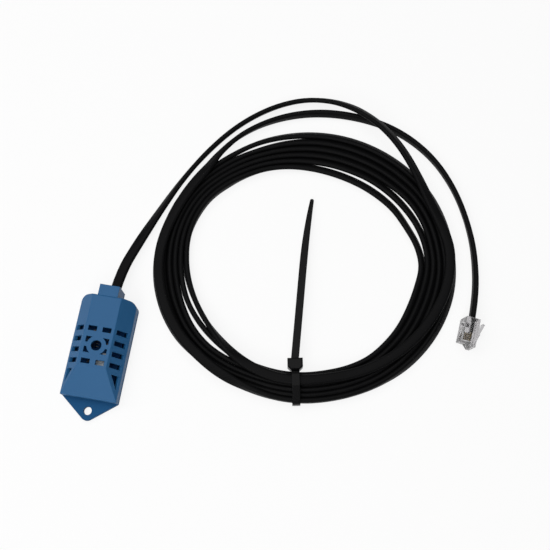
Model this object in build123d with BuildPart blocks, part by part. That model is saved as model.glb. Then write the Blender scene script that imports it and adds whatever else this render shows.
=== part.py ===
from build123d import *
import os
from math import atan2, cos, hypot, pi, radians, sin, tan

# Humidity sensor: a vented plastic housing with a screw tab, on a flat four-wire cord that is coiled,
# held by a cable tie and ends in a clear modular plug. Millimetres, +Z up out of the grille.
# The origin is on the floor under the middle of the housing, and +Y runs towards its cord neck.

# Housing
body_width = 26.0
body_length = 46.6
body_height = 14.0
flange_height = 6.9
top_width = 13.4
ramp_run = 13.5
corner_radius = 3.0
edge_radius = 0.6
wall = 1.6
plate_thickness = 2.2
rim_height = 1.0
rim_width = 1.0
rim_clearance = 0.15
neck_width = 9.25
neck_length = 5.1
neck_height = 13.7

# Screw tab
tab_length = 9.5
tab_tip_radius = 3.0
tab_hole_diameter = 3.8
tab_hole_from_tip = 4.4

# Grille, laid out about one middle on the top face
grille_from_near_end = 23.2
row_pitch = 5.05
slot_rows = 4
slot_height = 2.3
slot_bridge = 2.6
slot_margin = 1.4
round_hole_diameter = 4.8
ring_width = 2.0
window_height = 2.7
window_bar = 2.0
side_slot_margin = 1.45
hip_margin = 1.8

# Flat cord: four conductors side by side in one jacket
cord_width = 4.9
cord_thickness = 2.4
cord_bend_share = 0.45
cord_clearance = 0.05
cord_exit_height = 4.6
conductor_diameter = 0.9
conductor_pitch = 1.02
conductor_count = 4

# Circuit board and what it carries
board_thickness = 1.6
board_length = 30.0
board_side_gap = 1.4
board_from_near_end = 7.1
board_lift = 2.5
post_diameter = 3.2
pin_diameter = 1.5
pin_clearance = 0.05
pin_inset = 2.4
pin_proud = 0.6
jacket_end_gap = 3.5
pad_pitch = 2.54
pad_from_edge = 2.0
pad_hole_clearance = 0.05
solder_height = 0.7
solder_spread = 0.55
wire_run = 1.1
wire_arch = 1.65
wire_bend_radius = 0.54
element_width = 5.0
element_length = 8.0
element_height_share = 0.54
element_top_gap = 1.3
element_x = 2.8
element_from_grille = 6.5
element_corner_radius = 0.6
element_slits = 5
element_slit_width = 0.6
element_slit_depth = 0.5
element_lead_diameter = 0.5
element_lead_pitch = 2.54
chip_width = 3.9
chip_length = 4.9
chip_height = 1.45
chip_lift = 0.1
chip_chamfer = 0.1
chip_x = -3.6
chip_from_pads = 9.4
chip_leads_per_side = 4
chip_lead_pitch = 1.27
chip_lead_width = 0.4
chip_lead_thickness = 0.2
chip_lead_reach = 1.05
passive_length = 2.0
passive_width = 1.25
resistor_height = 0.5
capacitor_height = 0.9
passive_x = 3.4
passive_from_pads = 4.4
passive_pitch = 2.7

# Modular plug: six positions wide, four contacts
plug_width = 9.65
plug_thickness = 6.6
plug_length = 13.3
plug_contact_length = 11.3
plug_corner_radius = 0.35
plug_at = (166.7, 44.1)
plug_heading = 5.0
plug_lean = 8.0
jacket_depth = 6.5
jacket_offset = 0.6
mouth_chamfer = 0.6
anchor_pocket_width = 6.2
anchor_pocket_length = 2.6
anchor_pocket_start = 2.4
anchor_pocket_floor = 0.7
contact_thickness = 0.35
contact_length = 3.4
contact_slot_clearance = 0.05
contact_recess = 0.35
contact_start = 7.3
latch_thickness = 1.0
latch_width = 3.2
latch_root_width = 6.0
latch_root_length = 2.6
latch_setback = 4.6
latch_length = 8.4
latch_angle = 18.5
latch_root_sink = 0.2

# Coil: the loose round of cord, seen as one ring, and the cable tie across its near side
coil_outer_middle = (87.0, 60.1)
coil_outer_radii = (72.2, 67.2)
coil_outer_turn = 17.0
coil_inner_middle = (84.9, 56.9)
coil_inner_radii = (54.6, 50.2)
coil_inner_turn = -7.0
coil_height = 7.4
coil_edge_radius = 1.0
tie_width = 3.6
tie_thickness = 1.2
tie_clearance = 0.1
tie_at = (93.0, -7.2)
tie_heading = 11.0
tie_bundle_depth = 14.0
tie_bundle_radius = 1.2
tie_crossing_from_head = 1.5
tie_head_width = 7.0
tie_head_depth = 5.4
tie_head_height = 6.4
tie_head_radius = 0.8
tie_head_chamfer = 1.4
tie_head_gap = 0.6
tie_head_middle_height = 5.6
tie_tail_heading = 4.2
tie_tail_length = 80.0
tie_tail_middle_height = 4.8
tie_tail_sway = 1.5
tie_tail_straight = 44.0
tie_tip_width = 1.9
tie_tip_height = 0.8

# Route of the sensor lead, from inside the neck to the coil: flat on the floor, up and over the other lead
sensor_lead_route = [
    (0.0, 36.6, cord_exit_height),
    (6.2, 55.5, 2.0),
    (12.9, 73.1, 1.3),
    (20.0, 90.4, 1.3),
    (29.3, 107.5, 1.3),
    (41.0, 123.5, 1.3),
    (55.1, 135.9, 1.3),
    (70.4, 143.7, 1.4),
    (85.0, 145.3, 3.6),
    (97.4, 141.6, 7.8),
    (107.7, 136.4, 9.1),
    (116.9, 130.1, 9.1),
    (125.4, 121.7, 7.0),
    (133.1, 111.4, 4.6),
    (139.2, 101.6, 3.4),
]

# Route of the plug lead, on edge, from the coil to the point before the plug
plug_lead_route = [
    (22.6, 80.0, 2.8),
    (27.8, 94.1, 2.8),
    (35.0, 107.0, 2.8),
    (43.8, 119.0, 2.8),
    (55.2, 128.3, 2.8),
    (69.0, 135.0, 2.8),
    (84.0, 138.6, 2.8),
    (99.9, 139.0, 2.8),
    (115.4, 136.6, 2.8),
    (129.9, 130.5, 2.8),
    (142.7, 120.8, 2.8),
    (153.2, 107.4, 2.8),
    (160.8, 92.2, 2.8),
    (165.8, 76.0, 3.4),
]
plug_straight_run = 10.0

# Lengthwise stations of the housing
overall_length = tab_length + body_length + neck_length
tip_y = -overall_length / 2
near_y = tip_y + tab_length
far_y = near_y + body_length
neck_end_y = far_y + neck_length
grille_y = near_y + grille_from_near_end
board_near_y = near_y + board_from_near_end
board_far_y = board_near_y + board_length
jacket_end_y = board_far_y + jacket_end_gap
board_bottom = plate_thickness + board_lift
board_top = board_bottom + board_thickness
board_width = body_width - 2 * (wall + board_side_gap)
board_middle = (0, (board_near_y + board_far_y) / 2)
pin_spacing = (board_width - 2 * pin_inset, board_length - 2 * pin_inset)
pad_y = board_far_y - pad_from_edge
pad_hole_diameter = conductor_diameter + 2 * pad_hole_clearance
notch_width = cord_width + 2 * cord_clearance
notch_top = cord_exit_height + cord_thickness / 2 + cord_clearance
saddle_top = cord_exit_height - cord_thickness / 2 - cord_clearance
conductor_places = [(i - (conductor_count - 1) / 2) * conductor_pitch for i in range(conductor_count)]
pad_places = [(i - (conductor_count - 1) / 2) * pad_pitch for i in range(conductor_count)]
conductor_names = ["black", "red", "green", "yellow"]
chip_y = pad_y - chip_from_pads
element_y = grille_y - element_from_grille
element_room = body_height - wall - element_top_gap - board_top
element_height = element_height_share * element_room
element_lift = element_room - element_height
passive_y = pad_y - passive_from_pads
resistor_places = [(passive_x, passive_y), (passive_x, passive_y - passive_pitch), (-passive_x, element_y)]
capacitor_places = [
    (-passive_x, passive_y),
    (passive_x, passive_y - 2 * passive_pitch),
    (-passive_x, element_y - passive_pitch),
]

os.makedirs("parts", exist_ok=True)


def edges_along(builder, direction):
    """Straight edges of a piece that run along a direction."""
    return builder.edges().filter_by(Axis((0, 0, 0), direction))


def keep(builder, name):
    """Labels a finished piece and writes it to its own file."""
    builder.part.label = name
    export_step(builder.part, f"parts/{name}.step")


def body_outline():
    """Plan of the housing without tab or neck, rounded at the two far corners."""
    with BuildSketch() as plan:
        with Locations((0, (near_y + far_y) / 2)):
            Rectangle(body_width, body_length)
        fillet(plan.vertices().group_by(Axis.Y)[-1], corner_radius)
    return plan.sketch


def housing_form(inset):
    """Closed form of the housing above its back cover, moved in from the outside by a wall."""
    with BuildPart() as form:
        with BuildSketch(Plane.XZ.offset(inset - far_y)):
            with BuildLine():
                Polyline(
                    (-body_width / 2 + inset, plate_thickness),
                    (body_width / 2 - inset, plate_thickness),
                    (body_width / 2 - inset, flange_height - inset * flange_drop),
                    (top_width / 2 - inset * top_draw, body_height - inset),
                    (-top_width / 2 + inset * top_draw, body_height - inset),
                    (-body_width / 2 + inset, flange_height - inset * flange_drop),
                    close=True,
                )
            make_face()
        extrude(amount=body_length - 2 * inset)
        with BuildSketch(Plane.YZ):
            with BuildLine():
                Polyline(
                    (near_y, flange_height - inset * ramp_drop),
                    (near_y + 2 * ramp_run, flange_height - inset * ramp_drop + 2 * ramp_rise),
                    (near_y, flange_height - inset * ramp_drop + 2 * ramp_rise),
                    close=True,
                )
            make_face()
        extrude(amount=body_width, both=True, mode=Mode.SUBTRACT)
    return form.part


# Slanted side walls and ramp of the housing
slope_run = (body_width - top_width) / 2
slope_rise = body_height - flange_height
slope_length = hypot(slope_run, slope_rise)
flange_drop = tan(atan2(slope_run, slope_rise) / 2)
top_draw = tan(atan2(slope_rise, slope_run) / 2)
ramp_rise = body_height - flange_height
ramp_drop = hypot(ramp_run, ramp_rise) / ramp_run

# Front shell: the vented cover, open at its back
ring_radius = round_hole_diameter / 2 + ring_width
slot_length = top_width / 2 - slot_margin - slot_bridge / 2
slot_middle = slot_bridge / 2 + slot_length / 2
window_width = ring_radius
window_middle = (top_width / 2 - slot_margin - window_width / 2, window_bar / 2 + window_height / 2)
side_slot_length = slope_length - 2 * side_slot_margin
hip_slope = slope_length / ramp_run
hip_start = near_y + ramp_run - grille_y
corner_top = -(slot_rows + 1) / 2 * row_pitch + slot_height / 2
corner_high = slope_length / 2 + (corner_top - hip_start) * hip_slope - hip_margin * hypot(1, hip_slope)
corner_low = -side_slot_length / 2
corner_end = corner_top - (corner_high - corner_low) / hip_slope
grille_depth = wall + edge_radius

with BuildPart() as front_shell:
    add(housing_form(0))
    extrude(body_outline(), amount=body_height, mode=Mode.INTERSECT)
    top_face = front_shell.faces().sort_by(Axis.Z)[-1]
    fillet(top_face.edges(), edge_radius)
    with BuildSketch(Plane.XY.offset(plate_thickness)):
        with Locations((0, far_y - wall)):
            Rectangle(neck_width, neck_length + wall, align=(Align.CENTER, Align.MIN))
    extrude(amount=neck_height - plate_thickness)
    add(housing_form(wall), mode=Mode.SUBTRACT)
    with BuildSketch(Plane.XY.offset(plate_thickness)):
        with Locations((0, far_y - 2 * wall)):
            Rectangle(neck_width - 2 * wall, neck_length + wall, align=(Align.CENTER, Align.MIN))
    extrude(amount=neck_height - wall - plate_thickness, mode=Mode.SUBTRACT)
    with BuildSketch(Plane.XY.offset(plate_thickness)):
        with Locations((0, neck_end_y)):
            Rectangle(notch_width, 2 * wall + rim_width)
    extrude(amount=notch_top - plate_thickness, mode=Mode.SUBTRACT)
    with BuildSketch(Plane((0, grille_y, body_height))):
        with GridLocations(2 * window_middle[0], 2 * window_middle[1], 2, 2):
            Rectangle(window_width, window_height)
        Circle(ring_radius, mode=Mode.SUBTRACT)
        Circle(round_hole_diameter / 2)
        with GridLocations(2 * slot_middle, (slot_rows - 1) * row_pitch, 2, 2):
            Rectangle(slot_length, slot_height)
    extrude(amount=-grille_depth, mode=Mode.SUBTRACT)
    for side in (1, -1):
        wall_middle = (side * (body_width + top_width) / 4, grille_y, (flange_height + body_height) / 2)
        wall_plane = Plane(wall_middle, x_dir=(0, 1, 0), z_dir=(side * slope_rise, 0, slope_run))
        with BuildSketch(wall_plane):
            with GridLocations(row_pitch, 0, slot_rows, 1):
                Rectangle(slot_height, side_slot_length)
            with BuildLine():
                Polyline(
                    (corner_top, side * corner_low),
                    (corner_top, side * corner_high),
                    (corner_end, side * corner_low),
                    close=True,
                )
            make_face()
        extrude(amount=-grille_depth, mode=Mode.SUBTRACT)
keep(front_shell, "front_shell")

# Back cover: flat plate with the screw tab, a locating rim, board posts and the cord's saddle
with BuildPart() as back_cover:
    with BuildSketch():
        add(body_outline())
        with BuildLine():
            Line((-body_width / 2, near_y), (body_width / 2, near_y))
            CenterArc((0, tip_y + tab_tip_radius), tab_tip_radius, 0, 360)
        make_hull()
        with Locations((0, far_y)):
            Rectangle(neck_width, 2 * neck_length)
    extrude(amount=plate_thickness)
    with BuildSketch(Plane.XY.offset(plate_thickness)):
        offset(body_outline(), amount=-(wall + rim_clearance))
        offset(body_outline(), amount=-(wall + rim_clearance + rim_width), mode=Mode.SUBTRACT)
    extrude(amount=rim_height)
    with BuildSketch(Plane.XY.offset(plate_thickness)):
        with Locations((0, neck_end_y)):
            Rectangle(cord_width, neck_length + wall, align=(Align.CENTER, Align.MAX))
    extrude(amount=saddle_top - plate_thickness)
    with BuildSketch(Plane.XY.offset(plate_thickness)):
        with Locations(board_middle):
            with GridLocations(*pin_spacing, 2, 2):
                Circle(post_diameter / 2)
    extrude(amount=board_lift)
    with BuildSketch(Plane.XY.offset(board_bottom)):
        with Locations(board_middle):
            with GridLocations(*pin_spacing, 2, 2):
                Circle(pin_diameter / 2)
    extrude(amount=board_thickness + pin_proud)
    with Locations((0, tip_y + tab_hole_from_tip, plate_thickness)):
        Hole(tab_hole_diameter / 2, depth=plate_thickness)
keep(back_cover, "back_cover")

# Circuit board on the four posts
with BuildPart() as circuit_board:
    with BuildSketch(Plane.XY.offset(board_bottom)):
        with Locations(board_middle):
            Rectangle(board_width, board_length)
            with GridLocations(*pin_spacing, 2, 2):
                Circle(pin_diameter / 2 + pin_clearance, mode=Mode.SUBTRACT)
        with Locations([(x, pad_y) for x in pad_places]):
            Circle(pad_hole_diameter / 2, mode=Mode.SUBTRACT)
        with Locations((element_x, element_y)):
            with GridLocations(0, element_lead_pitch, 1, 2):
                Circle(element_lead_diameter / 2 + pin_clearance, mode=Mode.SUBTRACT)
    extrude(amount=board_thickness)
keep(circuit_board, "circuit_board")

# Humidity element: a slotted case on two leads, under the lower grille slots
element_bottom = board_top + element_lift
with BuildPart() as humidity_element:
    with BuildSketch(Plane((element_x, element_y, element_bottom))):
        Rectangle(element_width, element_length)
    extrude(amount=element_height)
    fillet(humidity_element.edges().filter_by(Axis.Z), element_corner_radius)
    with BuildSketch(Plane((element_x, element_y, element_bottom + element_height))):
        with GridLocations(0, 2 * element_slit_width, 1, element_slits):
            SlotOverall(element_width - 2 * element_slit_width, element_slit_width)
    extrude(amount=-element_slit_depth, mode=Mode.SUBTRACT)
keep(humidity_element, "humidity_element")

with BuildPart() as humidity_leads:
    with BuildSketch(Plane((element_x, element_y, board_bottom))):
        with GridLocations(0, element_lead_pitch, 1, 2):
            Circle(element_lead_diameter / 2)
    extrude(amount=board_thickness + element_lift)
keep(humidity_leads, "humidity_leads")

# Signal chip with its gull-wing leads
with BuildPart() as signal_chip:
    with BuildSketch(Plane((chip_x, chip_y, board_top + chip_lift))):
        Rectangle(chip_width, chip_length)
    extrude(amount=chip_height)
    chamfer(signal_chip.faces().sort_by(Axis.Z)[-1].edges(), chip_chamfer)
keep(signal_chip, "signal_chip")

with BuildPart() as signal_chip_leads:
    for side in (1, -1):
        foot = chip_lead_reach / 2
        shoulder = chip_lift + chip_height / 2
        for place in GridLocations(0, chip_lead_pitch, 1, chip_leads_per_side):
            lead_y = chip_y + place.position.Y + chip_lead_width / 2
            lead_root = (chip_x + side * chip_width / 2, lead_y, board_top)
            lead_plane = Plane(lead_root, x_dir=(side, 0, 0), z_dir=(0, -side, 0))
            with BuildSketch(lead_plane):
                with BuildLine():
                    Polyline(
                        (0, shoulder),
                        (foot, shoulder),
                        (foot, 0),
                        (2 * foot, 0),
                        (2 * foot, chip_lead_thickness),
                        (foot + chip_lead_thickness, chip_lead_thickness),
                        (foot + chip_lead_thickness, shoulder + chip_lead_thickness),
                        (0, shoulder + chip_lead_thickness),
                        close=True,
                    )
                make_face()
            extrude(amount=side * chip_lead_width)
keep(signal_chip_leads, "signal_chip_leads")

# Chip resistors and capacitors, each kind one group
with BuildPart() as chip_resistors:
    with BuildSketch(Plane.XY.offset(board_top)):
        with Locations(resistor_places):
            Rectangle(passive_length, passive_width)
    extrude(amount=resistor_height)
keep(chip_resistors, "chip_resistors")

with BuildPart() as chip_capacitors:
    with BuildSketch(Plane.XY.offset(board_top)):
        with Locations(capacitor_places):
            Rectangle(passive_length, passive_width)
    extrude(amount=capacitor_height)
keep(chip_capacitors, "chip_capacitors")

# Conductors from the jacket's end to their pads, and the solder round each
for name, x, pad_x in zip(conductor_names, conductor_places, pad_places):
    with BuildPart() as sensor_wire:
        with BuildLine() as wire_path:
            FilletPolyline(
                (x, jacket_end_y, cord_exit_height),
                (x, jacket_end_y - wire_run, cord_exit_height),
                (pad_x, board_far_y + conductor_diameter, board_top + wire_arch),
                (pad_x, pad_y, board_top + wire_arch),
                (pad_x, pad_y, board_bottom),
                radius=wire_bend_radius,
            )
        with BuildSketch(Plane((x, jacket_end_y, cord_exit_height), z_dir=(0, -1, 0))):
            Circle(conductor_diameter / 2)
        sweep(path=wire_path.line)
    keep(sensor_wire, f"sensor_wire_{name}")

with BuildPart() as solder_joints:
    for pad_x in pad_places:
        with BuildSketch(Plane((pad_x, pad_y, board_top), x_dir=(1, 0, 0), z_dir=(0, -1, 0))):
            with BuildLine():
                Polyline(
                    (conductor_diameter / 2, 0),
                    (conductor_diameter / 2 + solder_spread, 0),
                    (conductor_diameter / 2, solder_height),
                    close=True,
                )
            make_face()
        revolve(axis=Axis((pad_x, pad_y, board_top), (0, 0, 1)))
keep(solder_joints, "solder_joints")

# Plug: level over the floor, standing on one narrow side and leaning over towards its latch
lean = radians(plug_lean)
heading = radians(plug_heading)
plug_axis = Vector(-sin(heading), -cos(heading), 0)
plug_right = Vector(cos(heading), -sin(heading), 0)
plug_across = plug_right * sin(lean) + Vector(0, 0, 1) * cos(lean)
plug_height = (plug_width * cos(lean) + plug_thickness * sin(lean)) / 2
plug_rear = Vector(plug_at[0], plug_at[1], plug_height)
plug_side = Plane(plug_rear, x_dir=plug_axis, z_dir=plug_across)
plug_back = Plane(plug_rear, x_dir=plug_across, z_dir=plug_axis)
contact_face = -plug_thickness / 2
latch_face = plug_thickness / 2
jacket_width = cord_width + 2 * cord_clearance
jacket_height = cord_thickness + 2 * cord_clearance
wire_channel = (conductor_count - 1) * conductor_pitch + conductor_diameter + 2 * pad_hole_clearance
latch_lean = radians(latch_angle)
nose_step = plug_length - plug_contact_length
latch_root = (plug_length - latch_setback, latch_face - latch_root_sink)
latch_tip = (latch_root[0] - latch_length * cos(latch_lean), latch_root[1] + latch_length * sin(latch_lean))
latch_half = (latch_thickness * sin(latch_lean), latch_thickness * cos(latch_lean))
contact_inner = jacket_offset - conductor_diameter / 2 - pad_hole_clearance

with BuildPart() as plug_body:
    with BuildSketch(plug_side):
        with BuildLine():
            Polyline(
                (0, contact_face),
                (plug_contact_length, contact_face),
                (plug_contact_length, 0),
                (plug_length, nose_step),
                (plug_length, latch_face),
                (0, latch_face),
                close=True,
            )
        make_face()
    extrude(amount=plug_width / 2, both=True)
    fillet(edges_along(plug_body, plug_axis), plug_corner_radius)
    with BuildSketch(plug_side):
        with BuildLine():
            Polyline(
                latch_root,
                (plug_length, latch_face),
                (latch_root[0] + latch_half[0], latch_root[1] + latch_half[1]),
                (latch_tip[0] + latch_half[0], latch_tip[1] + latch_half[1]),
                latch_tip,
                close=True,
            )
        make_face()
    extrude(amount=latch_width / 2, both=True)
    with BuildSketch(plug_side):
        with BuildLine():
            Polyline(
                latch_root,
                (plug_length, latch_face),
                (latch_root[0] + latch_half[0], latch_root[1] + latch_half[1]),
                (
                    latch_root[0] + latch_half[0] - latch_root_length * cos(latch_lean),
                    latch_root[1] + latch_half[1] + latch_root_length * sin(latch_lean),
                ),
                (
                    latch_root[0] - latch_root_length * cos(latch_lean),
                    latch_root[1] + latch_root_length * sin(latch_lean),
                ),
                close=True,
            )
        make_face()
    extrude(amount=latch_root_width / 2, both=True)
    with BuildSketch(plug_back):
        with Locations((0, -jacket_offset)):
            SlotOverall(jacket_width, jacket_height)
    extrude(amount=jacket_depth, mode=Mode.SUBTRACT)
    with BuildSketch(plug_back):
        with Locations((0, -jacket_offset)):
            Rectangle(jacket_width + 2 * mouth_chamfer, jacket_height + 2 * mouth_chamfer)
    with BuildSketch(plug_back.offset(2 * mouth_chamfer)):
        with Locations((0, -jacket_offset)):
            Rectangle(jacket_width, jacket_height)
    loft(mode=Mode.SUBTRACT)
    with BuildSketch(plug_back.offset(jacket_depth)):
        with Locations((0, -jacket_offset)):
            Rectangle(wire_channel, conductor_diameter + 2 * pad_hole_clearance)
    extrude(amount=contact_start + contact_length - jacket_depth, mode=Mode.SUBTRACT)
    for place in conductor_places:
        with BuildSketch(plug_side.offset(place)):
            with BuildLine():
                Polyline(
                    (contact_start, contact_face),
                    (plug_contact_length, contact_face),
                    (plug_contact_length, contact_inner),
                    (contact_start, contact_inner),
                    close=True,
                )
            make_face()
        extrude(amount=contact_thickness / 2 + contact_slot_clearance, both=True, mode=Mode.SUBTRACT)
    pocket_depth = plug_thickness / 2 + jacket_offset - jacket_height / 2 - anchor_pocket_floor
    with BuildSketch(plug_side):
        with BuildLine():
            Polyline(
                (anchor_pocket_start, contact_face),
                (anchor_pocket_start + anchor_pocket_length, contact_face),
                (anchor_pocket_start + anchor_pocket_length, contact_face + pocket_depth),
                (anchor_pocket_start + anchor_pocket_floor, contact_face + pocket_depth),
                close=True,
            )
        make_face()
    extrude(amount=anchor_pocket_width / 2, both=True, mode=Mode.SUBTRACT)
keep(plug_body, "plug_body")

# Gold contacts standing in their slots over the conductors
with BuildPart() as plug_contacts:
    for place in conductor_places:
        with BuildSketch(plug_side.offset(place)):
            with BuildLine():
                Polyline(
                    (contact_start + contact_slot_clearance, contact_face + contact_recess),
                    (contact_start + contact_length, contact_face + contact_recess),
                    (contact_start + contact_length, contact_inner),
                    (contact_start + contact_slot_clearance, contact_inner),
                    close=True,
                )
            make_face()
        extrude(amount=contact_thickness / 2, both=True)
keep(plug_contacts, "plug_contacts")

for name, place in zip(conductor_names, conductor_places):
    with BuildPart() as plug_wire:
        with BuildSketch(plug_back.offset(jacket_depth)):
            with Locations((place, -jacket_offset)):
                Circle(conductor_diameter / 2)
        extrude(amount=contact_start + contact_length - jacket_depth)
    keep(plug_wire, f"plug_wire_{name}")

# Cable tie: a strap round the bundle, a square head inside the coil and a long tail that droops to the floor.
# One turn of cord lies flat across the others near the head, so the strap slants up to it.
tie_turn = radians(tie_heading)
tie_inward = Vector(-sin(tie_turn), cos(tie_turn), 0)
tie_plane = Plane((*tie_at, 0), x_dir=tie_inward, z_dir=tie_inward.cross(Vector(0, 0, 1)))
bundle_bottom = tie_thickness
bundle_low_top = bundle_bottom + cord_width + tie_clearance
bundle_high_top = bundle_low_top + cord_thickness
crossing_end = tie_bundle_depth - tie_crossing_from_head
head_start = tie_bundle_depth + tie_head_gap
head_side = tie_head_width / 2
tail_start = tie_plane.from_local_coords((head_start + tie_head_depth, 0))
tail_turn = radians(tie_tail_heading)
tail_along = Vector(-sin(tail_turn), cos(tail_turn), 0)
tail_plane = Plane(tail_start, x_dir=tail_along, z_dir=tail_along.cross(Vector(0, 0, 1)))


def bundle_section():
    """Outline of the gathered turns that the strap goes round."""
    with BuildSketch() as section:
        with BuildLine():
            FilletPolyline(
                (0, bundle_bottom),
                (tie_bundle_depth, bundle_bottom),
                (tie_bundle_depth, bundle_low_top),
                (crossing_end, bundle_high_top),
                (crossing_end - cord_width, bundle_high_top),
                (0, bundle_low_top),
                radius=tie_bundle_radius,
                close=True,
            )
        make_face()
    return section.sketch


with BuildPart() as tie_head:
    with BuildSketch(Plane((*tie_at, tie_head_middle_height), x_dir=tie_inward)):
        with BuildLine():
            Polyline(
                (head_start, head_side - tie_head_chamfer),
                (head_start + tie_head_chamfer, head_side),
                (head_start + tie_head_depth, head_side),
                (head_start + tie_head_depth, -head_side),
                (head_start + tie_head_chamfer, -head_side),
                (head_start, tie_head_chamfer - head_side),
                close=True,
            )
        make_face()
    extrude(amount=tie_head_height / 2, both=True)
    fillet(tie_head.edges().group_by(Axis.Z)[-1], tie_head_radius)

# Tail: its arch from the side, cut to its outline from above, which sways aside and narrows to a rounded tip
with BuildPart() as tie_tail:
    with BuildSketch(tail_plane):
        with BuildLine():
            upper = ThreePointArc(
                (-tie_thickness, tie_head_middle_height + tie_thickness / 2),
                (tie_tail_length / 2, tie_tail_middle_height + tie_thickness / 2),
                (tie_tail_length, tie_tip_height + tie_thickness),
            )
            lower = ThreePointArc(
                (-tie_thickness, tie_head_middle_height - tie_thickness / 2),
                (tie_tail_length / 2, tie_tail_middle_height - tie_thickness / 2),
                (tie_tail_length, tie_tip_height),
            )
            Line(upper @ 0, lower @ 0)
            Line(upper @ 1, lower @ 1)
        make_face()
    extrude(amount=tie_width, both=True)
    tip_start = tie_tail_length - tie_tip_width / 2
    sway_middle = (tie_tail_straight + tip_start) / 2
    with BuildSketch(Plane((tail_start.X, tail_start.Y, 0), x_dir=tail_along)):
        with BuildLine():
            edges = []
            for side in (tie_width / 2, -tie_width / 2):
                Line((-tie_thickness, side), (tie_tail_straight, side))
                tip_side = side * tie_tip_width / tie_width - tie_tail_sway
                edges.append(Bezier((tie_tail_straight, side), (sway_middle, side), (tip_start, tip_side)))
            Line((-tie_thickness, tie_width / 2), (-tie_thickness, -tie_width / 2))
            ThreePointArc(edges[0] @ 1, (tie_tail_length, -tie_tail_sway), edges[1] @ 1)
        make_face()
    extrude(amount=2 * tie_head_middle_height, mode=Mode.INTERSECT)

with BuildPart() as cable_tie:
    with BuildSketch(tie_plane):
        offset(bundle_section(), amount=tie_thickness)
        add(bundle_section(), mode=Mode.SUBTRACT)
    extrude(amount=tie_width / 2, both=True)
    add(tie_head.part)
    add(tie_tail.part)
keep(cable_tie, "cable_tie")

# Coil as one ring, drawn in to a waist where the strap holds it
with BuildPart() as cord_coil:
    with BuildSketch():
        with Locations(coil_outer_middle):
            Ellipse(*coil_outer_radii, rotation=coil_outer_turn)
        with Locations(coil_inner_middle):
            Ellipse(*coil_inner_radii, rotation=coil_inner_turn, mode=Mode.SUBTRACT)
    extrude(amount=coil_height)
    fillet(cord_coil.edges().group_by(Axis.Z)[-1], coil_edge_radius)
    with BuildSketch(tie_plane):
        with Locations((tie_bundle_depth / 2, 0)):
            Rectangle(2 * tie_bundle_depth, 4 * coil_height)
        offset(bundle_section(), amount=-tie_clearance, mode=Mode.SUBTRACT)
    extrude(amount=tie_width / 2 + tie_clearance, both=True, mode=Mode.SUBTRACT)
keep(cord_coil, "cord_coil")


def corner_radii(points):
    """Largest arc that each corner's two runs leave room for."""
    radii = []
    for before, at, after in zip(points, points[1:], points[2:]):
        run_in = Vector(at) - Vector(before)
        run_out = Vector(after) - Vector(at)
        turn = radians(run_in.get_angle(run_out))
        radii.append(cord_bend_share * min(run_in.length, run_out.length) / tan(turn / 2))
    return radii


def report_lead(name, points, radii, path, solid):
    """Prints a lead's runs, radii, length, and its volume against section times length."""
    runs = [(Vector(b) - Vector(a)).length for a, b in zip(points, points[1:])]
    section = (cord_width - cord_thickness) * cord_thickness + pi * cord_thickness**2 / 4
    print(name, "runs", [round(run, 1) for run in runs])
    print(name, "radii", [round(radius, 1) for radius in radii])
    length = sum(edge.length for edge in path.edges())
    print(name, "length", round(length, 1))
    print(name, "volume", round(solid.volume, 1), "of", round(section * length, 1))


# Sensor lead: the flat cord from inside the neck to the coil's right side
sensor_points = [(0.0, jacket_end_y, cord_exit_height), *sensor_lead_route]
sensor_radii = corner_radii(sensor_points)
with BuildPart() as cord_lead_sensor:
    with BuildLine() as sensor_path:
        FilletPolyline(*sensor_points, radius=sensor_radii)
    with BuildSketch(Plane(sensor_points[0], x_dir=(1, 0, 0), z_dir=(0, 1, 0))):
        SlotOverall(cord_width, cord_thickness)
    sweep(path=sensor_path.line)
    report_lead("sensor lead", sensor_points, sensor_radii, sensor_path.line, cord_lead_sensor.part)
    add(cord_coil.part, mode=Mode.SUBTRACT)
keep(cord_lead_sensor, "cord_lead_sensor")

# Plug lead: on edge, from the jacket's end inside the plug back to the coil's left side
plug_entry = plug_side.from_local_coords((0, jacket_offset, 0))
plug_points = [
    plug_entry + plug_axis * jacket_depth,
    plug_entry - plug_axis * plug_straight_run,
    *reversed(plug_lead_route),
]
plug_points = [tuple(Vector(point)) for point in plug_points]
plug_radii = corner_radii(plug_points)
with BuildPart() as cord_lead_plug:
    with BuildLine() as plug_path:
        FilletPolyline(*plug_points, radius=plug_radii)
    with BuildSketch(Plane(plug_points[0], x_dir=plug_across, z_dir=plug_axis * -1)):
        SlotOverall(cord_width, cord_thickness)
    sweep(path=plug_path.line)
    report_lead("plug lead", plug_points, plug_radii, plug_path.line, cord_lead_plug.part)
    add(cord_coil.part, mode=Mode.SUBTRACT)
keep(cord_lead_plug, "cord_lead_plug")
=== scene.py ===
import math

import bpy
from mathutils import Matrix, Vector


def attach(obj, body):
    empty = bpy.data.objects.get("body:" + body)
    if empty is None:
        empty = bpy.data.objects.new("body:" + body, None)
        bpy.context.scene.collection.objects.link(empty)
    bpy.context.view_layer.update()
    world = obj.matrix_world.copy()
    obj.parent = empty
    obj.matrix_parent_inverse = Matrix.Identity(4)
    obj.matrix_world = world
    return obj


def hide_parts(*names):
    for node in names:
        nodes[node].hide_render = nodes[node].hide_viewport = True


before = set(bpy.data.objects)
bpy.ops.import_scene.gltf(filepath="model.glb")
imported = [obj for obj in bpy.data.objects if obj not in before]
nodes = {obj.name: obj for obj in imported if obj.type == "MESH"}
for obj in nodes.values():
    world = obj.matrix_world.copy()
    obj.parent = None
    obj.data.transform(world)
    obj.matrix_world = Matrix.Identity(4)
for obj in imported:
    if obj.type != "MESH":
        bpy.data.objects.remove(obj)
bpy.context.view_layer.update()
MM = 0.001


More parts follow.
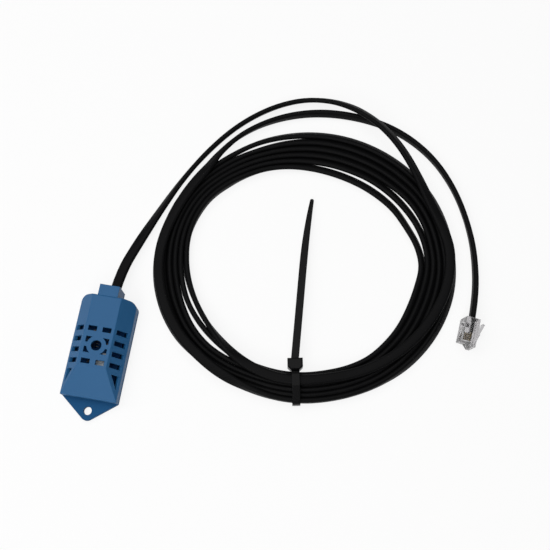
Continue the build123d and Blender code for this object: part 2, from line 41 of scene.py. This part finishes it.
def linear(hex_colour):
    """An sRGB hex colour as linear red, green, blue and alpha."""
    channels = [int(hex_colour[i : i + 2], 16) / 255 for i in (1, 3, 5)]
    return (*[c / 12.92 if c <= 0.04045 else ((c + 0.055) / 1.055) ** 2.4 for c in channels], 1.0)


def add_node(tree, kind, settings=None, links=None):
    """Adds a node, sets its sockets or properties, and links sources into its sockets."""
    node = tree.nodes.new(kind)
    for key, value in (settings or {}).items():
        if isinstance(key, int) or key in node.inputs:
            node.inputs[key].default_value = value
        else:
            setattr(node, key, value)
    for key, source in (links or {}).items():
        tree.links.new(source, node.inputs[key])
    return node


def new_material(name):
    """A material with an empty tree, and the tree to build it in."""
    material = bpy.data.materials.new(name)
    material.use_nodes = True
    tree = material.node_tree
    tree.nodes.clear()
    return material, tree


def finish_material(tree, shader):
    """Links the finished shader to the material's output."""
    add_node(tree, "ShaderNodeOutputMaterial", links={"Surface": shader.outputs[0]})


def per_mm(size):
    """Texture scale for a pattern of this size in millimetres, on coordinates in metres."""
    return 1.0 / (size * MM)


def object_place(tree):
    """Coordinates on the piece itself, in metres."""
    return add_node(tree, "ShaderNodeTexCoord").outputs["Object"]


def patches(tree, place, size, detail):
    """Soft uneven patches of a size in millimetres."""
    settings = {"Scale": per_mm(size), "Detail": detail}
    return add_node(tree, "ShaderNodeTexNoise", settings, {"Vector": place}).outputs["Fac"]


def tint_between(tree, colour, shade, share):
    """A colour that drifts between two close ones."""
    settings = {"data_type": "RGBA", 6: linear(colour), 7: linear(shade)}
    return add_node(tree, "ShaderNodeMix", settings, {0: share}).outputs[2]


def roughness_between(tree, low, high, share):
    """A roughness that drifts between two values."""
    settings = {"To Min": low, "To Max": high}
    return add_node(tree, "ShaderNodeMapRange", settings, {"Value": share}).outputs[0]


def relief(tree, strength, depth, links):
    """Fine relief of a depth in millimetres."""
    settings = {"Strength": strength, "Distance": depth * MM}
    return add_node(tree, "ShaderNodeBump", settings, links).outputs[0]


# Mouldings: size of the colour's drift and apparent rounding of the edges in millimetres, and how far the
# roughness drifts either way.
MOULDING_DRIFT = 9.0
MOULDING_EDGE = 0.35
MOULDING_UNEVENNESS = 0.06


def moulded_plastic(name, colour, shade, roughness, grain, grain_depth, specular=0.5):
    """A moulded surface: slow drift between two close colours, the fine grain of the tool, and edges that
    catch the light as if rounded by a fraction of a millimetre."""
    material, tree = new_material(name)
    place = object_place(tree)
    drift = patches(tree, place, size=MOULDING_DRIFT, detail=3.0)
    fine = patches(tree, place, size=grain, detail=2.0)
    tint = tint_between(tree, colour, shade, drift)
    rough = roughness_between(tree, roughness - MOULDING_UNEVENNESS, roughness + MOULDING_UNEVENNESS, fine)
    rounded = add_node(tree, "ShaderNodeBevel", {"samples": 6, "Radius": MOULDING_EDGE * MM}).outputs[0]
    links = {"Height": fine, "Normal": rounded}
    bump = relief(tree, strength=0.6, depth=grain_depth, links=links)
    shader = add_node(
        tree,
        "ShaderNodeBsdfPrincipled",
        {"Specular IOR Level": specular},
        {"Base Color": tint, "Roughness": rough, "Normal": bump},
    )
    finish_material(tree, shader)
    return material


# Metals: size of the uneven patches in millimetres, and how far the roughness drifts either way.
METAL_PATCH = 0.8
METAL_UNEVENNESS = 0.08


def drawn_metal(name, colour, shade, roughness):
    """Plated or tinned metal: small patches, slightly uneven in colour and in gloss."""
    material, tree = new_material(name)
    patch = patches(tree, object_place(tree), size=METAL_PATCH, detail=3.0)
    tint = tint_between(tree, colour, shade, patch)
    rough = roughness_between(tree, roughness - METAL_UNEVENNESS, roughness + METAL_UNEVENNESS, patch)
    shader = add_node(
        tree,
        "ShaderNodeBsdfPrincipled",
        {"Metallic": 1.0},
        {"Base Color": tint, "Roughness": rough},
    )
    finish_material(tree, shader)
    return material


# Blue ABS, moulded with a satin tool finish: mid blue, with a soft sheen where it faces the light.
housing_abs = moulded_plastic(
    "blue_abs_moulded", "#1A5887", "#1D5B8B", roughness=0.54, grain=0.35, grain_depth=0.012, specular=0.36
)

# The back cover is the same blue, made a little darker: the darker colour is painted shade, standing in for
# the shade that falls on its tab below the ramp.
cover_abs_painted_shade = moulded_plastic(
    "blue_abs_cover_painted_shade", "#144B78", "#164F7C", roughness=0.62, grain=0.35, grain_depth=0.012, specular=0.12
)

# Glass-fibre board under dark blue solder mask, its colour taken darker and bluer as painted shade for the
# inside of the housing: hardly lighter than the shade behind the slots.
board_mask_and_shade = moulded_plastic(
    "solder_mask_board_and_shade", "#012C55", "#023361", roughness=0.55, grain=0.6, grain_depth=0.01, specular=0.06
)

# White filled polymer of the sensing element's case: a pale patch behind the lower slots.
element_polymer = moulded_plastic(
    "white_element_case", "#AEB6BC", "#A2AAB0", roughness=0.5, grain=0.3, grain_depth=0.01
)

# Chip's epoxy, moulded matt: black, with a blue cast that is painted shade, the blue shade inside the
# housing, so that it is lost in the shade of the housing.
chip_epoxy_and_shade = moulded_plastic(
    "black_chip_epoxy_and_shade", "#06172E", "#0A1D36", roughness=0.6, grain=0.2, grain_depth=0.01, specular=0.06
)

# Thick-film resistor: black glaze.
resistor_glaze = moulded_plastic(
    "resistor_glaze", "#15161A", "#1B1C21", roughness=0.3, grain=0.3, grain_depth=0.004
)

# Ceramic capacitor: fired tan body.
capacitor_ceramic = moulded_plastic(
    "capacitor_ceramic", "#6E5C44", "#63523C", roughness=0.5, grain=0.25, grain_depth=0.006
)

# Nylon 66, moulded and flexed: black, a little glossier than the cord.
tie_nylon = moulded_plastic(
    "black_nylon_tie", "#070708", "#0B0B0C", roughness=0.28, grain=0.5, grain_depth=0.008, specular=0.09
)

# Tinned copper and solder, darker than bright metal: painted shade, so that they don't glint in the shade
# inside the housing. Mid grey metal.
tinned_copper_painted_shade = drawn_metal("tinned_copper_painted_shade", "#55585C", "#484B4F", roughness=0.5)
solder_alloy_painted_shade = drawn_metal("solder_alloy_painted_shade", "#50545A", "#44484D", roughness=0.5)

# Gold flash over nickel, thin and stamped: pale straw metal.
gold_flash = drawn_metal("gold_flash_contact", "#DDD0B2", "#C9BA97", roughness=0.42)

# Conductors' PVC insulation, extruded in the four colours of telephone cord.
wire_colours = {
    "black": ("#141415", "#1A1A1B"),
    "red": ("#B3201E", "#A31B1A"),
    "green": ("#1E7A3A", "#1A6E33"),
    "yellow": ("#A98C2A", "#9C8124"),
}
wire_pvc = {
    name: moulded_plastic(f"pvc_wire_{name}", colour, shade, roughness=0.4, grain=0.3, grain_depth=0.004)
    for name, (colour, shade) in wire_colours.items()
}


def clear_polycarbonate():
    """Moulded polycarbonate: clear with a grey tint, and flow lines that bend what shows through."""
    material, tree = new_material("clear_polycarbonate_plug")
    flow = patches(tree, object_place(tree), size=2.5, detail=2.0)
    rough = roughness_between(tree, low=0.08, high=0.2, share=flow)
    bump = relief(tree, strength=0.3, depth=0.05, links={"Height": flow})
    shader = add_node(
        tree,
        "ShaderNodeBsdfPrincipled",
        {"Base Color": linear("#BDBBBD"), "IOR": 1.58, "Transmission Weight": 1.0},
        {"Roughness": rough, "Normal": bump},
    )
    finish_material(tree, shader)
    return material


# Lines left along the jacket by extrusion: their length and their spacing in millimetres.
JACKET_LINES = (14.0, 0.45)


def cord_pvc():
    """Extruded PVC jacket: near black, satin, with faint lines along its length."""
    material, tree = new_material("black_pvc_jacket")
    along = add_node(tree, "ShaderNodeTexCoord").outputs["UV"]
    line_scale = (per_mm(JACKET_LINES[0]), per_mm(JACKET_LINES[1]), 1.0)
    stretched = add_node(tree, "ShaderNodeMapping", {"Scale": line_scale}, {"Vector": along}).outputs[0]
    lines = add_node(
        tree, "ShaderNodeTexNoise", {"Scale": 1.0, "Detail": 2.0}, {"Vector": stretched}
    ).outputs["Fac"]
    scuff = patches(tree, object_place(tree), size=6.0, detail=3.0)
    tint = tint_between(tree, "#0B0B0C", "#101011", scuff)
    rough = roughness_between(tree, low=0.36, high=0.52, share=scuff)
    bump = relief(tree, strength=0.25, depth=0.02, links={"Height": lines})
    shader = add_node(
        tree,
        "ShaderNodeBsdfPrincipled",
        {"Specular IOR Level": 0.05},
        {"Base Color": tint, "Roughness": rough, "Normal": bump},
    )
    finish_material(tree, shader)
    return material


plug_clear = clear_polycarbonate()
jacket_pvc = cord_pvc()

node_materials = {
    "front_shell": housing_abs,
    "back_cover": cover_abs_painted_shade,
    "circuit_board": board_mask_and_shade,
    "humidity_element": element_polymer,
    "humidity_leads": tinned_copper_painted_shade,
    "signal_chip": chip_epoxy_and_shade,
    "signal_chip_leads": tinned_copper_painted_shade,
    "chip_resistors": resistor_glaze,
    "chip_capacitors": capacitor_ceramic,
    "solder_joints": solder_alloy_painted_shade,
    "plug_body": plug_clear,
    "plug_contacts": gold_flash,
    "cable_tie": tie_nylon,
}
for colour_name, pvc in wire_pvc.items():
    node_materials["sensor_wire_" + colour_name] = pvc
    node_materials["plug_wire_" + colour_name] = pvc
for node_name, material in node_materials.items():
    nodes[node_name].data.materials.clear()
    nodes[node_name].data.materials.append(material)

# The flat cord. Each point is its place in metres and its roll in degrees: it lies flat at 90 and -90, and
# stands on edge at 0 and -180.
CORD_WIDTH = 0.0049
CORD_THICKNESS = 0.0024
sensor_lead = [
    (0.0000, 0.0195, 0.0046, -90),
    (0.0009, 0.0380, 0.0046, -85),
    (0.0062, 0.0555, 0.0034, -98),
    (0.0129, 0.0731, 0.0029, -136),
    (0.0200, 0.0904, 0.0026, -156),
    (0.0293, 0.1075, 0.0025, -164),
    (0.0410, 0.1235, 0.0025, -162),
    (0.0551, 0.1359, 0.0025, -160),
    (0.0704, 0.1437, 0.0026, -156),
    (0.0850, 0.1453, 0.0038, -149),
    (0.0974, 0.1416, 0.0076, -136),
    (0.1077, 0.1364, 0.0091, -134),
    (0.1169, 0.1301, 0.0091, -133),
    (0.1254, 0.1217, 0.0086, -130),
    (0.1331, 0.1114, 0.0076, -126),
    (0.1392, 0.1016, 0.0066, -106),
]
plug_lead = [
    (0.0229, 0.0799, 0.0066, 82),
    (0.0280, 0.0908, 0.0067, 85),
    (0.0329, 0.0994, 0.0064, 60),
    (0.0361, 0.1075, 0.0046, 32),
    (0.0438, 0.1190, 0.0032, 18),
    (0.0552, 0.1283, 0.0028, 8),
    (0.0690, 0.1350, 0.0028, -5),
    (0.0840, 0.1386, 0.0028, -14),
    (0.0999, 0.1390, 0.0028, -12),
    (0.1154, 0.1366, 0.0028, -8),
    (0.1299, 0.1305, 0.0028, -2),
    (0.1427, 0.1208, 0.0028, 3),
    (0.1532, 0.1074, 0.0028, 6),
    (0.1608, 0.0922, 0.0028, 6),
    (0.1658, 0.0760, 0.0034, -2),
    (0.16816, 0.05401, 0.00515, -8),
    (0.16673, 0.03757, 0.00515, -8),
]

# The coil, wound clockwise. Its rim and bore are the ovals of the CAD ring, in millimetres, eased out or
# in where the strands bulge or draw together: bearing of the place, its reach in degrees, and how far.
COIL_MIDDLE = (86.5, 59.7)
RIM_OVAL = {"middle": (87.0, 60.1), "radii": (72.2, 67.2), "turn": 17}
BORE_OVAL = {"middle": (84.9, 56.9), "radii": (54.6, 50.2), "turn": -7}
rim_bulges = [
    (-160, 55, 1.2),
    (-109, 33, -2.5),
    (-40, 45, 0.7),
    (20, 25, -0.9),
    (90, 45, 0.7),
    (150, 35, -1.8),
]
bore_bulges = [
    (-150, 40, -2.6),
    (-70, 20, -1.2),
    (-15, 55, -1.6),
    (10, 22, 3.1),
    (36, 12, 0.5),
    (80, 45, -1.4),
    (155, 25, 1.4),
]

# Gaps between each strand and the next one out, from the bore to the rim, given in the same way.
strand_gaps = [
    [(28, 20, 2.1), (58, 38, 1.4), (86, 14, 0.35), (-149, 18, 0.8)],
    [(38, 18, 1.3), (-133, 27, 2.2)],
    [],
    [],
    [(117, 19, 1.2)],
]

# Strands: how many lie abreast, their closest spacing as a share of the cord's thickness, a touch of extra
# lean so that neighbours meet, where the inner ones stand upright, and their height off the floor in metres.
STRANDS_ABREAST = 6
TIGHTEST_PITCH = 0.95
LEAN_MARGIN = 1.01
UPRIGHT_BEARING = -146
UPRIGHT_REACH = 32
FLOOR_CLEARANCE = 0.00005

# The tie: its strap lifts the strands, in metres, and moves them out a little, in millimetres, over a reach
# in degrees to either side.
TIE_BEARING = -85.0
TIE_REACH = 28.0
TIE_LIFT = 0.00123
TIE_SHIFT = 0.5

# Control points, spaced evenly from a start in degrees past the bearing where the cord joins the coil.
ENTRY_BEARING = 46.0
POINTS_PER_TURN = 32
FIRST_COIL_POINT = 27.5
COIL_POINTS = 211

# Moves of the turns, as start and length in degrees past the tie.
TURNS_STEP_OUT = (8, 44)
FIRST_TURN_CROSSES = (-106, 99)
FIRST_TURN_GOES_IN = (8, 46)
FIRST_TURN_TIPS = (19, 38)
FIRST_TURN_DROPS = (34, 38)
LAST_TURN_CLIMBS = (1, 26)
LAST_TURN_TIPS = (11, 31)
LAST_TURN_DRAWS_IN = (15, 35)
LAST_TURN_NEARS_ITS_END = (84, 30)

# Ranks of the first turn where it lies on the others, its small hump while it tips, and how many ranks the
# last turn draws in during its two moves.
FIRST_RANK_AT_ENTRY = 4.6
FIRST_RANK_AT_TIE = 1.2
first_turn_hump = [(33, 20, 0.14)]
LAST_RANK_DRAWN_IN = 0.5
LAST_RANK_NEAR_END = 0.6


def smooth(value):
    """Eases from 0 to 1 as the value goes from 0 to 1."""
    t = min(max(value, 0.0), 1.0)
    return t * t * (3 - 2 * t)


def eased(angle, move):
    """Share of a move that is done at an angle."""
    start, length = move
    return smooth((angle - start) / length)


def swell(bearing, middle, reach):
    """A smooth bump that is 1 at the middle bearing and 0 beyond its reach."""
    return 1 - smooth(abs((bearing - middle + 180) % 360 - 180) / reach)


def swells(bearing, places):
    """Sum of several bumps, each with its own size."""
    return sum(size * swell(bearing, middle, reach) for middle, reach, size in places)


def edge_radius(bearing, oval, bulges):
    """Distance from the coil's middle to an edge of the coil along a bearing."""
    turn_back = Matrix.Rotation(math.radians(-oval["turn"]), 2)
    to_circle = Matrix.Diagonal([1 / radius for radius in oval["radii"]]) @ turn_back
    start = to_circle @ (Vector(COIL_MIDDLE) - Vector(oval["middle"]))
    along = to_circle @ Vector((math.cos(math.radians(bearing)), math.sin(math.radians(bearing))))
    square = along.dot(along)
    half = start.dot(along) / square
    reach = math.sqrt(half**2 + (1 - start.dot(start)) / square) - half
    return reach + swells(bearing, bulges)


def strand_place(bearing, rank):
    """Radius in millimetres and lean in degrees of a strand: rank 0 is the innermost. The strands lean in
    against each other where the bundle is wide, and a few of them stand off in places. The innermost ones
    stand upright near one bearing."""
    gaps = [swells(bearing, places) for places in strand_gaps]
    bore = edge_radius(bearing, BORE_OVAL, bore_bulges)
    width = edge_radius(bearing, RIM_OVAL, rim_bulges) - bore - sum(gaps)
    thickness = CORD_THICKNESS / MM
    flat = CORD_WIDTH / MM - thickness
    lean = 0.0
    # The lean sets the room that the outer strands need, and that room sets the lean: four rounds settle it
    for _ in range(4):
        reach = thickness / 2 + flat / 2 * math.sin(lean)
        pitch = max((width - 2 * reach) / (STRANDS_ABREAST - 1), TIGHTEST_PITCH * thickness)
        lean = LEAN_MARGIN * math.acos(min(thickness / pitch, 1.0))
    stand_off = sum(gap * smooth(rank - i) for i, gap in enumerate(gaps))
    upright = swell(bearing, UPRIGHT_BEARING, UPRIGHT_REACH) * (1 - smooth(rank - 1))
    return bore + reach + rank * pitch + stand_off, math.degrees(lean) * (1 - upright)


def coil_points():
    """Control points of the coil. The first turn lies flat on the others until it is past the tie, and the
    rest stand on edge. There, the first turn tips into the innermost place, the others step out by one
    strand, and the last one climbs on top of them and lies flat until it leaves."""
    points = []
    step = 360 / POINTS_PER_TURN
    # A control point stands this much further out than the spline it draws
    control_reach = 1 / (0.75 + 0.25 * math.cos(math.radians(step)))
    for i in range(COIL_POINTS):
        turn, past_entry = divmod(FIRST_COIL_POINT + i * step, 360)
        bearing = ENTRY_BEARING - past_entry
        past_tie = TIE_BEARING - bearing
        rank = turn - 1 + eased(past_tie, TURNS_STEP_OUT)
        raised = 0.0
        laid = 0.0
        flat_roll = 90
        if turn == 0:
            crossing = (FIRST_RANK_AT_ENTRY - FIRST_RANK_AT_TIE) * eased(past_tie, FIRST_TURN_CROSSES)
            rank = FIRST_RANK_AT_ENTRY - crossing - FIRST_RANK_AT_TIE * eased(past_tie, FIRST_TURN_GOES_IN)
            raised = 1 + swells(past_tie, first_turn_hump) - eased(past_tie, FIRST_TURN_DROPS)
            laid = 1 - eased(past_tie, FIRST_TURN_TIPS)
            flat_roll = -90
        if turn == STRANDS_ABREAST:
            rank = STRANDS_ABREAST - 1
            rank -= LAST_RANK_DRAWN_IN * eased(past_tie, LAST_TURN_DRAWS_IN)
            rank -= LAST_RANK_NEAR_END * eased(past_tie, LAST_TURN_NEARS_ITS_END)
            raised = eased(past_tie, LAST_TURN_CLIMBS)
            laid = eased(past_tie, LAST_TURN_TIPS)
        radius, lean = strand_place(bearing, rank)
        edge_height = (CORD_WIDTH - CORD_THICKNESS) / 2 * math.cos(math.radians(lean))
        standing = CORD_THICKNESS / 2 + edge_height
        lying_on_top = CORD_THICKNESS * 1.5 + 2 * edge_height
        at_tie = swell(bearing, TIE_BEARING, TIE_REACH)
        reach = (radius + TIE_SHIFT * at_tie) * control_reach
        points.append(
            (
                (COIL_MIDDLE[0] + reach * math.cos(math.radians(bearing))) * MM,
                (COIL_MIDDLE[1] + reach * math.sin(math.radians(bearing))) * MM,
                standing + (lying_on_top - standing) * raised + FLOOR_CLEARANCE + TIE_LIFT * at_tie,
                lean + (flat_roll - lean) * laid,
            )
        )
    return points


cord_controls = sensor_lead + coil_points() + plug_lead

# The route as one smooth spline, read back as points
STEPS_PER_CONTROL = 6
route_data = bpy.data.curves.new("cord_route", "CURVE")
route_data.dimensions = "3D"
route_data.resolution_u = STEPS_PER_CONTROL
spline = route_data.splines.new("NURBS")
spline.points.add(len(cord_controls) - 1)
for point, control in zip(spline.points, cord_controls):
    point.co = (*control[:3], 1.0)
spline.order_u = 3
spline.use_endpoint_u = True
route = bpy.data.objects.new("cord_route", route_data)
bpy.context.scene.collection.objects.link(route)
bpy.context.view_layer.update()
route_mesh = bpy.data.meshes.new_from_object(route.evaluated_get(bpy.context.evaluated_depsgraph_get()))
cord_path = [vertex.co.copy() for vertex in route_mesh.vertices]
bpy.data.objects.remove(route)
bpy.data.meshes.remove(route_mesh)


def roll_along(share):
    """Roll of the cord at a share of the spline's parameter, between its control points."""
    last = len(cord_controls) - 1
    place = min(max(share * (last - 1) + 0.5, 0.0), last)
    before = min(int(place), last - 1)
    blend = place - before
    return cord_controls[before][3] * (1 - blend) + cord_controls[before + 1][3] * blend


def slot_outline(width, thickness, steps):
    """Points round a flat section with half-round sides, width along the first axis."""
    straight = (width - thickness) / 2
    outline = []
    for side in (1, -1):
        for i in range(steps + 1):
            angle = math.pi * (i / steps - 0.5)
            outline.append(
                (
                    side * (straight + thickness / 2 * math.cos(angle)),
                    side * thickness / 2 * math.sin(angle),
                )
            )
    return outline


def flat_tube(name, path, outline):
    """Sweeps a flat section along a path, rolled as the route says, with both ends closed."""
    vertices, faces, lengths = [], [], [0.0]
    count = len(outline)
    for i, at in enumerate(path):
        along = (path[min(i + 1, len(path) - 1)] - path[max(i - 1, 0)]).normalized()
        side = along.cross(Vector((0, 0, 1))).normalized()
        up = side.cross(along)
        roll = math.radians(roll_along(i / (len(path) - 1)))
        wide = up * math.cos(roll) + side * math.sin(roll)
        thin = wide.cross(along)
        vertices += [at + wide * a + thin * b for a, b in outline]
        if i:
            lengths.append(lengths[-1] + (at - path[i - 1]).length)
            for j in range(count):
                k = (j + 1) % count
                low, high = (i - 1) * count, i * count
                faces.append((low + j, low + k, high + k, high + j))
    faces.append(tuple(reversed(range(count))))
    faces.append(tuple(range(len(vertices) - count, len(vertices))))
    mesh = bpy.data.meshes.new(name)
    mesh.from_pydata(vertices, [], faces)
    around = [0.0]
    for (a, b), (c, d) in zip(outline, outline[1:] + outline[:1]):
        around.append(around[-1] + math.hypot(c - a, d - b))
    layer = mesh.uv_layers.new(name="length_and_girth")
    for polygon in mesh.polygons:
        for corner, loop in enumerate(polygon.loop_indices):
            ring, j = divmod(mesh.loops[loop].vertex_index, count)
            girth = around[count] if corner in (1, 2) and j == 0 else around[j]
            layer.data[loop].uv = (lengths[ring], girth)
    mesh.polygons.foreach_set("use_smooth", [len(p.vertices) == 4 for p in mesh.polygons])
    mesh.update()
    tube = bpy.data.objects.new(name, mesh)
    bpy.context.scene.collection.objects.link(tube)
    return tube


cord = flat_tube("flat_cord", cord_path, slot_outline(CORD_WIDTH, CORD_THICKNESS, steps=7))
cord.data.materials.append(jacket_pvc)
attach(cord, "root")
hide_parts("cord_lead_sensor", "cord_coil", "cord_lead_plug")

# Floor: a pale sheet, flat under the object, that bends up into a low wall all round. It keeps a soft
# shadow, and is lifted to white for the camera and for reflections.
FLOOR_RADIUS = 3.0
FLOOR_BEND = 0.8
WALL_TOP = 1.6
FLOOR_DROP = 0.0002
FLOOR_LIFT = 0.85


def paper_sweep(name, sides=48, bend_steps=8):
    """Rings of a round sheet: flat, a quarter bend, then straight up."""
    bend = [math.pi / 2 * i / bend_steps for i in range(bend_steps + 1)]
    profile = [(FLOOR_RADIUS + FLOOR_BEND * math.sin(a), FLOOR_BEND * (1 - math.cos(a))) for a in bend]
    profile.append((FLOOR_RADIUS + FLOOR_BEND, WALL_TOP))
    turns = [2 * math.pi * i / sides for i in range(sides)]
    vertices = [(r * math.cos(t), r * math.sin(t), z - FLOOR_DROP) for r, z in profile for t in turns]
    faces = [tuple(range(sides))]
    for ring in range(len(profile) - 1):
        low, high = ring * sides, (ring + 1) * sides
        faces += [(low + i, low + (i + 1) % sides, high + (i + 1) % sides, high + i) for i in range(sides)]
    mesh = bpy.data.meshes.new(name)
    mesh.from_pydata(vertices, [], faces)
    mesh.polygons.foreach_set("use_smooth", [len(p.vertices) == 4 for p in mesh.polygons])
    sheet = bpy.data.objects.new(name, mesh)
    bpy.context.scene.collection.objects.link(sheet)
    return sheet


def white_paper():
    """White paper that shades softly, and looks white where it is seen directly or in a reflection."""
    material, tree = new_material("white_paper_floor")
    rays = add_node(tree, "ShaderNodeLightPath").outputs
    larger = {"operation": "MAXIMUM"}
    seen = rays["Is Camera Ray"]
    for kind in ("Is Glossy Ray", "Is Transmission Ray"):
        seen = add_node(tree, "ShaderNodeMath", larger, {0: seen, 1: rays[kind]}).outputs[0]
    lift = add_node(tree, "ShaderNodeMath", {"operation": "MULTIPLY", 1: FLOOR_LIFT}, {0: seen}).outputs[0]
    paper = add_node(tree, "ShaderNodeBsdfDiffuse", {"Color": linear("#FAFAFA")}).outputs[0]
    white = add_node(tree, "ShaderNodeEmission", {"Color": linear("#FFFFFF"), "Strength": 1.0}).outputs[0]
    finish_material(tree, add_node(tree, "ShaderNodeMixShader", None, {0: lift, 1: paper, 2: white}))
    return material


floor = paper_sweep("floor")
floor.data.materials.append(white_paper())

# Studio: dim white surroundings, a wide panel overhead, and small ones on the left and in front
SURROUNDINGS = 0.07
LIGHT_AIM = (0.05, 0.05, 0.0)
world = bpy.data.worlds.new("studio")
bpy.context.scene.world = world
world.use_nodes = True
world.node_tree.nodes["Background"].inputs["Color"].default_value = linear("#FFFFFF")
world.node_tree.nodes["Background"].inputs["Strength"].default_value = SURROUNDINGS


def panel(name, place, size, power):
    """A square soft light at a place, turned to face the object."""
    data = bpy.data.lights.new(name, "AREA")
    data.size = size
    data.energy = power
    lamp = bpy.data.objects.new(name, data)
    lamp.location = place
    lamp.rotation_mode = "QUATERNION"
    lamp.rotation_quaternion = (Vector(LIGHT_AIM) - Vector(place)).to_track_quat("-Z", "Y")
    bpy.context.scene.collection.objects.link(lamp)


panel("overhead_panel", place=(-0.1, 0.15, 1.0), size=1.2, power=8.3)
panel("left_panel", place=(-0.8, 0.0, 0.75), size=0.5, power=1.5)
panel("front_panel", place=(-0.1, -0.8, 0.8), size=0.5, power=4.2)

# Camera at the photograph's viewpoint: its place in metres, its angles in degrees and its lens
CAMERA_PLACE = (0.09248, -0.05843, 0.39046)
CAMERA_AZIMUTH = -9.877
CAMERA_ELEVATION = 74.006
CAMERA_TILT = -0.3375
CAMERA_LENS = 55.636
camera_data = bpy.data.cameras.new("camera")
camera_data.sensor_width = 36.0
camera_data.lens = CAMERA_LENS
camera = bpy.data.objects.new("camera", camera_data)
bpy.context.scene.collection.objects.link(camera)
azimuth = math.radians(CAMERA_AZIMUTH)
elevation = math.radians(CAMERA_ELEVATION)
tilt = math.radians(CAMERA_TILT)
look = Vector(
    (
        math.sin(azimuth) * math.cos(elevation),
        math.cos(azimuth) * math.cos(elevation),
        -math.sin(elevation),
    )
)
level = Vector((math.cos(azimuth), -math.sin(azimuth), 0))
upright = level.cross(look)
right = level * math.cos(tilt) + upright * math.sin(tilt)
up = upright * math.cos(tilt) - level * math.sin(tilt)
facing = Matrix((right, up, -look)).transposed().to_4x4()
camera.matrix_world = Matrix.Translation(CAMERA_PLACE) @ facing
bpy.context.scene.camera = camera

bpy.context.scene.view_settings.view_transform = "Standard"

bpy.context.view_layer.update()
